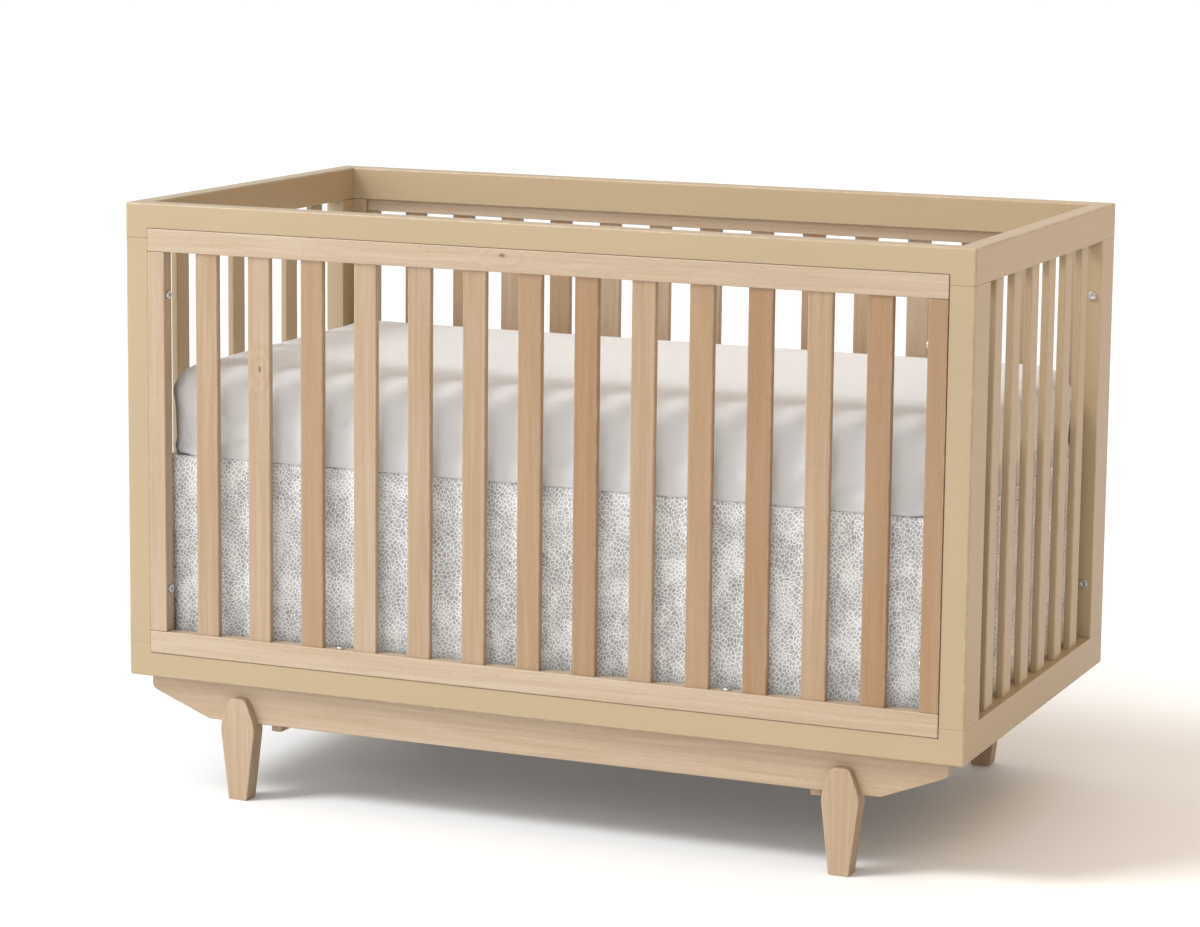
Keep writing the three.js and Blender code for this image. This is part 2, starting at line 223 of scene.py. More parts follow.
def noise(tree, place_socket, factors, detail=2.0, rough=0.5, twist=0.0):
    feeds = {"Vector": stretched(tree, place_socket, factors), "Scale": 1.0, "Detail": detail,
             "Roughness": rough, "Distortion": twist}
    return wire(tree, "TexNoise", feeds).outputs[0]


def ramped(tree, value, low, high, low_to=0.0, high_to=1.0):
    feeds = {"Value": value, "From Min": low, "From Max": high, "To Min": low_to, "To Max": high_to}
    return wire(tree, "MapRange", feeds, interpolation_type="SMOOTHSTEP").outputs[0]


mix_inputs = (6, 7)


def mixed(tree, amount, first, second, blend="MIX"):
    feeds = {"Factor": amount, mix_inputs[0]: first, mix_inputs[1]: second}
    return wire(tree, "Mix", feeds, data_type="RGBA", blend_type=blend).outputs[2]


def effect(name, inputs, outputs):
    tree = bpy.data.node_groups.new(name, "ShaderNodeTree")
    for label, kind, value in inputs:
        socket = tree.interface.new_socket(label, in_out="INPUT", socket_type="NodeSocket" + kind)
        socket.default_value = value
    for label, kind in outputs:
        tree.interface.new_socket(label, in_out="OUTPUT", socket_type="NodeSocket" + kind)
    return tree, tree.nodes.new("NodeGroupInput").outputs, tree.nodes.new("NodeGroupOutput").inputs


def applied(tree, group, feeds):
    node = tree.nodes.new("ShaderNodeGroup")
    node.node_tree = group
    return plugged(tree, node, feeds).outputs


def finish(name, **fixed):
    """A new material with its shader, and its tree, the shader's inputs and the place in metres."""
    material = bpy.data.materials.new(name)
    material.use_nodes = True
    tree = material.node_tree
    shader = tree.nodes["Principled BSDF"]
    for key, value in fixed.items():
        shader.inputs[key.replace("_", " ")].default_value = value
    place_socket = tree.nodes.new("ShaderNodeTexCoord").outputs["Object"]
    return material, tree, shader.inputs, place_socket


def raised(tree, shader_inputs, height, distance, strength=1.0):
    bump = wire(tree, "Bump", {"Height": height, "Distance": distance, "Strength": strength})
    tree.links.new(bump.outputs[0], shader_inputs["Normal"])


def edge_rub():
    tree, given, result = effect("edge_rub", [("Place", "Vector", (0, 0, 0)),
                                              ("Edge", "Float", 0.0)], [("Mask", "Float")])
    patches = ramped(tree, noise(tree, given["Place"], (38, 38, 38), 4, 0.65), 0.42, 0.66)
    fine = ramped(tree, noise(tree, given["Place"], (420, 420, 420), 2), 0.3, 0.7, 0.45, 1)
    worn = times(tree, patches, fine)
    tree.links.new(times(tree, worn, given["Edge"], True), result["Mask"])
    return tree


def paint_film():
    tree, given, result = effect("paint_film", [
        ("Place", "Vector", (0, 0, 0)), ("Grain Place", "Vector", (0, 0, 0)),
        ("Body", "Color", paint_colour), ("Gloss", "Float", satin_roughness),
    ], [("Color", "Color"), ("Roughness", "Float"), ("Height", "Float")])
    slow = noise(tree, given["Place"], (3.1, 3.1, 3.1), 3)
    flow = noise(tree, given["Grain Place"], (210, 210, 5.5), 3, 0.6)
    peel = noise(tree, given["Place"], (620, 620, 620), 1)
    dust = ramped(tree, noise(tree, given["Place"], (1500, 1500, 1500), 0), 0.71, 0.78)
    shade = plus(tree, times(tree, slow, 0.11), times(tree, flow, 0.07))
    tone = wire(tree, "CombineColor", {0: plus(tree, shade, 0.91),
                                       1: plus(tree, shade, 0.91),
                                       2: plus(tree, shade, 0.90)}).outputs[0]
    body = mixed(tree, 1.0, given["Body"], tone, "MULTIPLY")
    tree.links.new(body, result["Color"])
    sheen = plus(tree, times(tree, slow, 0.10), times(tree, flow, 0.08))
    tree.links.new(plus(tree, reckon(tree, "SUBTRACT", sheen, 0.09), given["Gloss"]),
                   result["Roughness"])
    surface = plus(tree, times(tree, flow, 0.55), times(tree, peel, 0.35))
    tree.links.new(plus(tree, surface, times(tree, dust, 0.25)), result["Height"])
    return tree


edge_rub_effect = edge_rub()
paint_film_effect = paint_film()


board_turns = {"x": (0, pi / 2, 0), "y": (pi / 2, 0, 0), "z": (0, 0, 0)}


def turned_place(tree, place_socket, along):
    """The place with the board's length on Z."""
    feeds = {"Vector": place_socket, "Rotation": board_turns[along]}
    return wire(tree, "Mapping", feeds).outputs[0]


def sand_paint(name, along):
    material, tree, shader, here = finish(name, Coat_Weight=0.12, Coat_Roughness=0.3,
                                          Specular_IOR_Level=0.45)
    film = applied(tree, paint_film_effect, {
        "Place": here, "Grain Place": turned_place(tree, here, along), "Body": paint_colour,
        "Gloss": satin_roughness})
    edge = wire(tree, "Attribute", attribute_name="rubbed").outputs["Fac"]
    rub = applied(tree, edge_rub_effect, {"Place": here, "Edge": edge})[0]
    colour = mixed(tree, times(tree, rub, 0.55), film["Color"], rubbed_paint_colour)
    tree.links.new(colour, shader["Base Color"])
    tree.links.new(reckon(tree, "SUBTRACT", film["Roughness"], times(tree, rub, 0.1)),
                   shader["Roughness"])
    raised(tree, shader, film["Height"], 0.00016, 0.6)
    return material


rail_paint = sand_paint("sand_paint_on_rails", "x")
post_paint = sand_paint("sand_paint_on_posts", "z")

ring_rounds = {"top": (top_edge_radius, seam_edge_radius, post_edge_radius, top_edge_radius),
               "bottom": (seam_edge_radius, top_edge_radius, top_edge_radius, post_edge_radius)}
for level, rounds in ring_rounds.items():
    low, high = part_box(f"{level}_rail_front")
    ring = rail_ring(f"painted_{level}_ring", low.z, high.z, rounds)
    sand_smooth(carved(ring, panel_pocket(-1), panel_pocket(1)))
    ring.data.materials.append(rail_paint)
    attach(ring, "crib_frame")
    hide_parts(*[f"{level}_rail_{side}" for side in ("front", "rear", "left", "right")])


def filleted(points, radii, steps=5):
    """A polygon with each corner rounded to its own radius."""
    outline = []
    for i, (point, radius) in enumerate(zip(points, radii)):
        here = Vector(point)
        before = (Vector(points[i - 1]) - here).normalized()
        after = (Vector(points[(i + 1) % len(points)]) - here).normalized()
        if radius == 0:
            outline.append(here)
            continue
        middle = here + (before + after) * radius
        for step in range(steps):
            turn = radians(90) * step / (steps - 1)
            outline.append(middle - after * radius * cos(turn) - before * radius * sin(turn))
    return outline


def prism(name, outline, low, high):
    count = len(outline)
    points = [(x, y, low) for x, y in outline] + [(x, y, high) for x, y in outline]
    faces = [tuple(reversed(range(count))), tuple(range(count, 2 * count))]
    faces += [(i, (i + 1) % count, count + (i + 1) % count, count + i) for i in range(count)]
    return place(name, mesh_of(name, points, faces))


def rod(name, radius, start, end, sides=20):
    bm = bmesh.new()
    bmesh.ops.create_cone(bm, cap_ends=True, segments=sides, radius1=radius, radius2=radius,
                          depth=(end - start).length)
    facing = (end - start).to_track_quat("Z", "Y").to_matrix().to_4x4()
    bmesh.ops.transform(bm, matrix=Matrix.Translation((start + end) / 2) @ facing, verts=bm.verts)
    return placed_from(bm, name)


insert_heights = (0.512, 0.427, 0.342, 0.257)
insert_y = 0.3295
insert_bore = 0.005
insert_bore_depth = 0.013
inner_face_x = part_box("top_rail_right")[0].x

for side, end in ((-1, -1), (-1, 1), (1, -1), (1, 1)):
    node = f"post_{'front' if side < 0 else 'rear'}_{'left' if end < 0 else 'right'}"
    low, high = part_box(node)
    front_reach = min(abs(low.x), abs(high.x))
    end_reach = min(abs(low.y), abs(high.y))
    pocket_x, pocket_y = panel_high.x + panel_gap, -panel_high.y - panel_back_gap
    corners = [(half_x, half_y, corner_radius), (half_x, end_reach, post_edge_radius),
               (inner_face_x, end_reach, post_edge_radius), (inner_face_x, half_y - rail_width, 0),
               (front_reach, half_y - rail_width, post_edge_radius), (front_reach, pocket_y, 0),
               (pocket_x, pocket_y, 0), (pocket_x, half_y, 0.0006)]
    outline = filleted([(end * x, side * y) for x, y, _ in corners], [r for _, _, r in corners])
    post = prism(f"painted_{node}", outline, low.z, high.z)
    bores = [rod("bore", insert_bore, Vector((end * (inner_face_x - 0.002), side * insert_y, z)),
                 Vector((end * (inner_face_x + insert_bore_depth), side * insert_y, z)))
             for z in insert_heights]
    sand_smooth(carved(post, *bores))
    post.data.materials.append(post_paint)
    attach(post, "crib_frame")
    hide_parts(node)


# ---- The end slats ---------------------------------------------------------------------------
# Six flat slats in each end, tenoned into the rings and painted with them. Their long edges are
# rounded over by a router before they are painted.

slat_edge_radius = 0.0025


def softened(node, name, radius, only_outer=True):
    """A copy of a CAD part with its sharp edges rounded: its box's edges only, or all of them."""
    low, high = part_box(node)
    bm = bmesh.new()
    bm.from_mesh(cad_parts[node].data)
    bmesh.ops.remove_doubles(bm, verts=bm.verts, dist=0.00001)
    bmesh.ops.dissolve_limit(bm, angle_limit=radians(1), verts=bm.verts, edges=bm.edges)
    sharp = []
    for edge in bm.edges:
        if len(edge.link_faces) != 2 or edge.calc_face_angle_signed(0) < radians(25):
            continue
        middle = (edge.verts[0].co + edge.verts[1].co) / 2
        on_box = sum(min(abs(middle[i] - low[i]), abs(middle[i] - high[i])) < 0.0001
                     for i in range(3))
        if on_box >= 2 or not only_outer:
            sharp.append(edge)
    bmesh.ops.bevel(bm, geom=sharp, offset=radius, segments=3, profile=0.5, affect="EDGES",
                    clamp_overlap=True)
    return placed_from(bm, name)


slat_paint = sand_paint("sand_paint_on_slats", "z")
for end_name in ("left", "right"):
    for i in range(1, 7):
        node = f"end_slat_{end_name}_{i:02d}"
        slat = sand_smooth(softened(node, f"painted_{node}", slat_edge_radius))
        slat.data.materials.append(slat_paint)
        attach(slat, "crib_frame")
        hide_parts(node)


# ---- The beech side panels -------------------------------------------------------------------
# A lattice of beech in each long side: a rail at the top and the bottom, a stile at each end and
# thirteen slats tenoned into the rails. Clear lacquer, so every board keeps its own tone. The
# front boards also carry painted shade: their tones run darker towards the right-hand end. The
# front one unbolts; the rear one is the same, glued up as one piece.

board_edge_radius = 0.0016
rail_edge_radius = 0.0018
pale_beech = (0.460, 0.362, 0.262, 1)
mid_beech = (0.345, 0.230, 0.136, 1)
dark_beech = (0.275, 0.150, 0.069, 1)
rubbed_beech = (0.50, 0.405, 0.295, 1)
fleck_colour = (0.62, 0.50, 0.40, 1)
knot_colour = (0.16, 0.085, 0.04, 1)
# Front slat tones: each slat's own tone, plus painted shade that makes the slats darker towards the
# right-hand end.
front_tones_darkened_rightwards = (0.46, 0.41, 0.58, 0.32, 0.42, 0.46, 0.77, 0.91, 0.46, 0.66, 0.96, 0.54, 0.99)
rear_tones = (0.40, 0.56, 0.34, 0.64, 0.38, 0.30, 0.50, 0.36, 0.60, 0.44, 0.32, 0.54, 0.40)


def beech_grain():
    tree, given, result = effect("beech_grain", [
        ("Place", "Vector", (0, 0, 0)), ("Tone", "Float", 0.3), ("Knot", "Vector", (9, 9, 9)),
    ], [("Color", "Color"), ("Roughness", "Float"), ("Height", "Float")])
    here = given["Place"]
    off_knot = wire(tree, "VectorMath", {0: here, 1: given["Knot"]}, operation="SUBTRACT")
    squeezed = stretched(tree, off_knot.outputs[0], (1, 1, 0.55))
    far = wire(tree, "VectorMath", {0: squeezed}, operation="LENGTH").outputs["Value"]
    swirl = ramped(tree, far, 0.002, 0.03, 1.0, 0.0)
    growth = noise(tree, here, (21, 21, 0.75), 3, 0.5, 0.35)
    bent = plus(tree, growth, times(tree, swirl, 0.22))
    rings = reckon(tree, "SINE", times(tree, bent, 52))
    fibre = noise(tree, here, (640, 640, 10), 3, 0.6)
    streak = noise(tree, here, (110, 110, 2.2), 3, 0.6)
    slow = noise(tree, here, (4.5, 4.5, 0.9), 2)
    cells = wire(tree, "TexVoronoi", {"Vector": stretched(tree, here, (520, 520, 105)),
                                      "Scale": 1.0, "Randomness": 1.0})
    grey = wire(tree, "SeparateColor", {0: cells.outputs["Color"]}).outputs[0]
    chosen = ramped(tree, grey, 0.42, 0.5)
    dashes = times(tree, ramped(tree, cells.outputs["Distance"], 0.16, 0.36, 1, 0), chosen)
    value = times(tree, given["Tone"], 0.78)
    for part, share in ((rings, 0.050), (fibre, 0.44), (streak, 0.36), (slow, 0.40)):
        centred = reckon(tree, "SUBTRACT", part, 0.0 if part is rings else 0.5)
        value = plus(tree, value, times(tree, centred, share))
    value = plus(tree, value, 0.06, True)
    ramp = wire(tree, "ValToRGB", {0: value})
    ramp.color_ramp.elements[0].color = pale_beech
    ramp.color_ramp.elements[1].color = dark_beech
    ramp.color_ramp.elements.new(0.5).color = mid_beech
    flecked = mixed(tree, times(tree, dashes, 0.3), ramp.outputs[0], fleck_colour, "MULTIPLY")
    core = ramped(tree, far, 0.0012, 0.0042, 0.85, 0.0)
    tree.links.new(mixed(tree, core, flecked, knot_colour), result["Color"])
    gloss = plus(tree, times(tree, fibre, 0.16), times(tree, dashes, 0.12))
    tree.links.new(plus(tree, gloss, 0.36), result["Roughness"])
    height = reckon(tree, "SUBTRACT", times(tree, fibre, 0.6), times(tree, dashes, 0.5))
    tree.links.new(height, result["Height"])
    return tree


beech_grain_effect = beech_grain()
boards_made = []


def beech(name, along, tone, knot=None):
    """Lacquered beech for one board, cut from its own part of the tree."""
    boards_made.append(name)
    count = len(boards_made)
    material, tree, shader, here = finish(name, Coat_Weight=0.10, Coat_Roughness=0.35,
                                          Specular_IOR_Level=0.4)
    turned = turned_place(tree, here, along)
    offset = Vector((count * 0.37, count * -0.53, count * 1.91))
    own_place = wire(tree, "VectorMath", {0: turned, 1: offset}, operation="ADD")
    feeds = {"Place": own_place.outputs[0], "Tone": tone}
    if knot is not None:
        feeds["Knot"] = Euler(board_turns[along]).to_matrix() @ Vector(knot) + offset
    grain = applied(tree, beech_grain_effect, feeds)
    edge = wire(tree, "Attribute", attribute_name="rubbed").outputs["Fac"]
    rub = applied(tree, edge_rub_effect, {"Place": here, "Edge": edge})[0]
    colour = mixed(tree, times(tree, rub, 0.4), grain["Color"], rubbed_beech)
    tree.links.new(colour, shader["Base Color"])
    tree.links.new(grain["Roughness"], shader["Roughness"])
    raised(tree, shader, grain["Height"], 0.00022, 0.7)
    return material


# The front tones of the stiles also hold painted shade: the right-hand stile is much darker than
# the left.
panel_boards = [("top_rail", rail_edge_radius, "x", 0.10, 0.20),
                ("bottom_rail", rail_edge_radius, "x", 0.12, 0.26),
                ("stile_left", board_edge_radius, "z", 0.24, 0.36),
                ("stile_right", board_edge_radius, "z", 0.88, 0.30)]
panel_boards += [(f"slat_{i + 1:02d}", slat_edge_radius, "z", front_tones_darkened_rightwards[i], rear_tones[i])
                 for i in range(13)]
front_knots = {"top_rail": (-0.045, panel_low.y, 0.902), "slat_02": (-0.462, -0.3805, 0.70)}
for board, radius, along, front_tone_and_shade, rear_tone in panel_boards:
    node = f"front_{board}" if board.startswith("slat") else f"front_panel_{board}"
    knot = front_knots.get(board)
    front = sand_smooth(softened(node, f"beech_front_{board}", radius))
    front.data.materials.append(beech(f"beech_front_{board}", along, front_tone_and_shade, knot))
    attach(front, "crib_frame")
    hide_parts(node)
    rear = softened(node, f"beech_rear_{board}", radius)
    rear.data.transform(Matrix.Scale(-1, 4, (0, 1, 0)))
    rear.data.flip_normals()
    sand_smooth(rear)
    rear.data.materials.append(beech(f"beech_rear_{board}", along, rear_tone))
    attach(rear, "crib_frame")
    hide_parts("rear_panel")


# ---- The bolts of the panels -----------------------------------------------------------------
# Zinc-plated furniture bolts with a flat head and a hexagon socket. They hold the stiles to the
# posts, the ends to the sides and the beech rails to the bottom ring.

head_radius = 0.007
head_height = 0.0035
head_round = 0.0011
socket_radius = 0.0027
socket_depth = 0.0022
zinc_colour = (0.64, 0.65, 0.66, 1)


def circle_of(radius, z, sides):
    return [(radius * cos(2 * pi * j / sides), radius * sin(2 * pi * j / sides), z)
            for j in range(sides)]


def lathed(name, points, sides, seat, facing):
    """Rings of points joined into one turned piece, on its seat and looking along facing."""
    rows = len(points) // sides
    faces = [(i * sides + j, i * sides + (j + 1) % sides, (i + 1) * sides + (j + 1) % sides,
              (i + 1) * sides + j) for i in range(rows - 1) for j in range(sides)]
    faces += [tuple(reversed(range(sides))), tuple(range((rows - 1) * sides, rows * sides))]
    mesh = mesh_of(name, points, faces)
    turn = Vector(facing).to_track_quat("Z", "Y").to_matrix().to_4x4()
    mesh.transform(Matrix.Translation(seat) @ turn)
    return sand_smooth(place(name, mesh))


def turned_head(name, seat, facing):
    """A bolt head with a hexagon socket."""
    sides = 36
    sections = [(head_radius - 0.0005, -0.0015), (head_radius, 0)]
    sections += [(head_radius - head_round + head_round * cos(radians(a)),
                  head_height - head_round + head_round * sin(radians(a))) for a in (0, 30, 60, 90)]
    sections += [(socket_radius * 1.28, head_height), (socket_radius * 1.14, head_height - 0.0002)]
    points = [point for r, z in sections for point in circle_of(r, z, sides)]
    for z in (head_height - 0.0005, head_height - socket_depth):
        for j in range(sides):
            turn = 2 * pi * j / sides
            r = socket_radius * cos(pi / 6) / cos((turn % (pi / 3)) - pi / 6)
            points.append((r * cos(turn), r * sin(turn), z))
    return lathed(name, points, sides, seat, facing)


def zinc(name, colour, roughness, scratch_scale):
    material, tree, shader, here = finish(name, Metallic=1.0)
    clouds = noise(tree, here, (90, 90, 90), 3)
    scratches = noise(tree, here, scratch_scale, 2, 0.6)
    tone = plus(tree, times(tree, clouds, 0.5), 0.1, True)
    darker = tuple(0.72 * part for part in colour[:3]) + (1,)
    tree.links.new(mixed(tree, tone, colour, darker), shader["Base Color"])
    matt = plus(tree, times(tree, clouds, 0.2), times(tree, scratches, 0.12))
    tree.links.new(plus(tree, matt, roughness - 0.16), shader["Roughness"])
    raised(tree, shader, scratches, 0.00008, 0.5)
    return material


bolt_zinc = zinc("bright_zinc", zinc_colour, 0.24, (1400, 1400, 1400))
stile_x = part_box("front_panel_stile_right")[0].x
post_y = -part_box("post_front_right")[1].y
bolt_levels = {"high": 0.807, "low": 0.334}
stile_bolt_y, post_bolt_x = 0.372, 0.6855
heads = []
for side_name, side in (("front", -1), ("rear", 1)):
    for end_name, end in (("left", -1), ("right", 1)):
        for level, z in bolt_levels.items():
            heads.append((f"stile_bolt_{side_name}_{end_name}_{level}",
                          (end * stile_x, side * stile_bolt_y, z), (-end, 0, 0), None))
            heads.append((f"post_bolt_{side_name}_{end_name}_{level}",
                          (end * post_bolt_x, side * post_y, z), (0, -side, 0), None))
for end_name in ("left", "right"):
    low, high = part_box(f"panel_bolt_{end_name}")
    x, y, seat = (low.x + high.x) / 2, (low.y + high.y) / 2, high.z - head_height
    heads.append((f"rail_bolt_front_{end_name}", (x, y, seat), (0, 0, 1),
                  f"panel_bolt_{end_name}"))
    heads.append((f"rail_bolt_rear_{end_name}", (x, -y, seat), (0, 0, 1), None))
for name, seat, facing, node in heads:
    head = turned_head(name, seat, facing)
    head.data.materials.append(bolt_zinc)
    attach(head, "crib_frame")
    if node:
        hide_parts(node)


# ---- The base --------------------------------------------------------------------------------
# A beech beam under each side ring, tapered at its ends, with two rails across and four legs
# notched over the beams and screwed from inside. The legs taper from a wide shoulder to the foot.

beam_edge_radius = 0.002
base_boards = {"base_beam_front": ("x", 0.22), "base_beam_rear": ("x", 0.34),
               "base_cross_rail_left": ("y", 0.30), "base_cross_rail_right": ("y", 0.24),
               "leg_front_left": ("z", 0.30), "leg_front_right": ("z", 0.36),
               "leg_rear_left": ("z", 0.28), "leg_rear_right": ("z", 0.42)}
leg_face_radius = 0.0018
leg_shoulder_z = 0.122
leg_half_widths = {"foot": 0.0135, "ankle": 0.0165, "top": 0.014}
foot_chamfer = 0.003
leg_shoulder_radius = 0.013
leg_top_radius = 0.007
leg_notch_low, leg_notch_face = 0.1237, 0.3608
notch_overrun = 0.001


def notched_leg(node, name):
    """A leg sawn to its outline with rounded shoulders, its face edges eased, notched behind."""
    low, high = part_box(node)
    half, middle = (high.x - low.x) / 2, (high.x + low.x) / 2
    right = [(leg_half_widths["foot"], low.z, 0), (leg_half_widths["ankle"], foot_chamfer, 0),
             (half, leg_shoulder_z, leg_shoulder_radius),
             (leg_half_widths["top"], high.z, leg_top_radius)]
    outline = right + [(-x, z, radius) for x, z, radius in reversed(right)]
    leg = prism(name, filleted([(x, z) for x, z, _ in outline], [r for _, _, r in outline]),
                -high.y, -low.y)
    leg.data.transform(Matrix.Translation((middle, 0, 0)) @ Matrix.Rotation(pi / 2, 4, "X"))
    face = max(abs(low.y), abs(high.y))
    bm = bmesh.new()
    bm.from_mesh(leg.data)
    rim = [edge for edge in bm.edges
           if all(abs(abs(v.co.y) - face) < 0.0001 and v.co.z > 0.001 for v in edge.verts)]
    bmesh.ops.bevel(bm, geom=rim, offset=leg_face_radius, segments=3, profile=0.5,
                    affect="EDGES", clamp_overlap=True)
    bm.to_mesh(leg.data)
    bm.free()
    inner = min(abs(low.y), abs(high.y)) - notch_overrun
    start_y, end_y = sorted((inner, leg_notch_face) if low.y > 0 else (-inner, -leg_notch_face))
    return carved(leg, block("notch", (low.x - cutter_overrun, start_y, leg_notch_low),
                             (high.x + cutter_overrun, end_y, high.z + 2 * cutter_overrun)))


for node, (along, tone) in base_boards.items():
    if node.startswith("leg"):
        board = sand_smooth(notched_leg(node, f"beech_{node}"))
    else:
        board = sand_smooth(softened(node, f"beech_{node}", beam_edge_radius,
                                     only_outer=node.startswith("base_cross")))
    board.data.materials.append(beech(f"beech_{node}", along, tone))
    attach(board, "crib_frame")
    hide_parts(node)


# ---- The mattress support --------------------------------------------------------------------
# A welded ring of steel angle with flat straps across it and a hanger plate at each corner. It is
# zinc plated, and bolts into threaded inserts in the posts at one of four heights.

plate_zinc = zinc("dull_zinc", (0.50, 0.50, 0.49, 1), 0.42, (700, 700, 60))
for node in ("support_frame", "support_deck"):
    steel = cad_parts[node]
    steel.data.materials.clear()
    steel.data.materials.append(plate_zinc)

brass_colour = (0.60, 0.47, 0.25, 1)
insert_zinc = zinc("yellow_zinc", brass_colour, 0.34, (900, 900, 900))


def threaded_insert(name, mouth, facing):
    sides = 24
    sections = [(insert_bore, -0.0115), (insert_bore, 0.0002), (insert_bore + 0.0014, 0.0003),
                (insert_bore + 0.0012, 0.0009), (0.0042, 0.001)]
    sections += [(0.0034 if i % 2 else 0.0039, -0.0005 - 0.0008 * i) for i in range(13)]
    points = [point for r, z in sections for point in circle_of(r, z, sides)]
    return lathed(name, points, sides, mouth, facing)


hanger_gap, hanger_plate = 0.002, 0.003
hanger_face_x = inner_face_x - hanger_gap - hanger_plate
for side_name, side in (("front", -1), ("rear", 1)):
    for end_name, end in (("left", -1), ("right", 1)):
        for step, z in enumerate(insert_heights, start=1):
            insert = threaded_insert(f"insert_{side_name}_{end_name}_{step}",
                                     (end * inner_face_x, side * insert_y, z), (-end, 0, 0))
            insert.data.materials.append(insert_zinc)
            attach(insert, "crib_frame")
        bolt = turned_head(f"hanger_bolt_{side_name}_{end_name}",
                           (end * hanger_face_x, side * insert_y, insert_heights[0]), (-end, 0, 0))
        bolt.data.materials.append(bolt_zinc)
        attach(bolt, "mattress_support")


# ---- The mattress ----------------------------------------------------------------------------
# A block of foam in a white cotton ticking, sewn with rounded corners and edges. It swells into a
# soft crown, and lies loose on the straps of the support.

mattress_cell = 0.014
mattress_corner = 0.058
mattress_edge = 0.036
mattress_low_edge = 0.008
mattress_start_inset = 0.0045
mattress_start_drop = 0.004
mattress_start_crown = 0.002
mattress_swell = 0.006
mattress_stand_in = 0.0016


def cushion_grid(half_x, half_y, low, high, corner, edges, cell):
    """The cells of a block with rounded corners and edges: points, faces, way out and low rim."""
    spans = ((-half_x, half_x), (-half_y, half_y), (low, high))
    counts = [max(2, round((end - start) / cell)) for start, end in spans]
    levels = [np.linspace(*span, count + 1).astype(np.float32)
              for span, count in zip(spans, counts)]
    made, faces = {}, []
    for a, b, ends in ((0, 1, (counts[2], 0)), (0, 2, (0, counts[1])), (1, 2, (counts[0], 0))):
        for i in range(counts[a]):
            for j in range(counts[b]):
                for end, order in zip(ends, (1, -1)):
                    face = []
                    for right, up in ((0, 0), (1, 0), (1, 1), (0, 1))[::order]:
                        key = [end, end, end]
                        key[a], key[b] = i + right, j + up
                        face.append(made.setdefault(tuple(key), len(made)))
                    faces.append(tuple(face))
    points = np.array([[levels[axis][step] for axis, step in enumerate(key)] for key in made],
                      dtype=float)
    on_side = np.isclose(np.abs(points[:, :2]), (half_x, half_y)).any(1)
    rim = np.isclose(points[:, 2], low) & on_side
    inner = np.array([half_x - corner, half_y - corner])
    flat, sign = np.abs(points[:, :2]), np.sign(points[:, :2])
    over = flat - inner
    both = (over > 0).all(1)
    reach = np.where(both, over.max(1), 0)
    length = np.where(both, np.linalg.norm(over, axis=1), 1)
    toward = np.where(both[:, None], over / np.maximum(length, 1e-9)[:, None], 0)
    inset = np.where(both, corner - reach, np.minimum(half_x - flat[:, 0], half_y - flat[:, 1]))
    by_x = ~both & (half_x - flat[:, 0] < half_y - flat[:, 1])
    toward[by_x] = (1, 0)
    toward[~both & ~by_x] = (0, 1)
    outline = np.where(both[:, None], inner + toward * corner, flat + toward * inset[:, None])
    middle = (low + high) / 2
    up = np.sign(points[:, 2] - middle)
    edge = np.where(up < 0, edges[0], edges[1])
    rise = np.abs(points[:, 2] - middle) - ((high - low) / 2 - edge)
    run = edge - inset
    rounded = (rise > 0) & (run > 0)
    size = np.where(rounded, np.hypot(rise, run), 1)
    new_run = np.where(rounded, edge * run / np.maximum(size, 1e-9), run)
    new_rise = np.where(rounded, edge * rise / np.maximum(size, 1e-9), rise)
    flat = outline - toward * (edge - new_run)[:, None]
    points[:, :2] = flat * sign
    points[:, 2] = middle + up * (new_rise + (high - low) / 2 - edge)
    return points, faces, toward * sign, rim


def crowned(points, half_x, half_y, high, low, crown):
    share = np.clip((points[:, 2] - low) / (high - low), 0, 1) ** 3
    dome = (1 - np.clip(np.abs(points[:, 0]) / half_x, 0, 1) ** 4) \
        * (1 - np.clip(np.abs(points[:, 1]) / half_y, 0, 1) ** 3)
    points[:, 2] += crown * dome * share
    return points


def settled(piece, frames, **cloth):
    """Runs the cloth over its frames and returns where its points end."""
    scene = bpy.context.scene
    scene.frame_set(1)
    modifier = piece.modifiers.new("cloth", "CLOTH")
    settings = modifier.settings
    collisions = cloth.pop("collisions", False)
    settings.effector_weights.gravity = cloth.pop("gravity", 0.0)
    for key, value in cloth.items():
        setattr(settings, key, value)
    modifier.collision_settings.use_collision = collisions
    modifier.collision_settings.use_self_collision = False
    modifier.collision_settings.distance_min = 0.001
    modifier.point_cache.frame_start, modifier.point_cache.frame_end = 1, frames
    for step in range(1, frames + 1):
        scene.frame_set(step)
    shown = piece.evaluated_get(bpy.context.evaluated_depsgraph_get())
    found = np.array([v.co for v in shown.to_mesh().vertices])
    shown.to_mesh_clear()
    piece.modifiers.remove(modifier)
    scene.frame_set(1)
    return found


def held_within(found, start, cap):
    """No point moves further than cap."""
    moved = found - start
    length = np.linalg.norm(moved, axis=1, keepdims=True)
    return start + moved * np.minimum(1, cap / np.maximum(length, 1e-9))


def rounded_finely(piece):
    divide = piece.modifiers.new("divide", "SUBSURF")
    divide.levels = divide.render_levels = 1
    mesh = bpy.data.meshes.new_from_object(
        piece.evaluated_get(bpy.context.evaluated_depsgraph_get()))
    piece.modifiers.clear()
    piece.data = mesh
    mesh.shade_smooth()


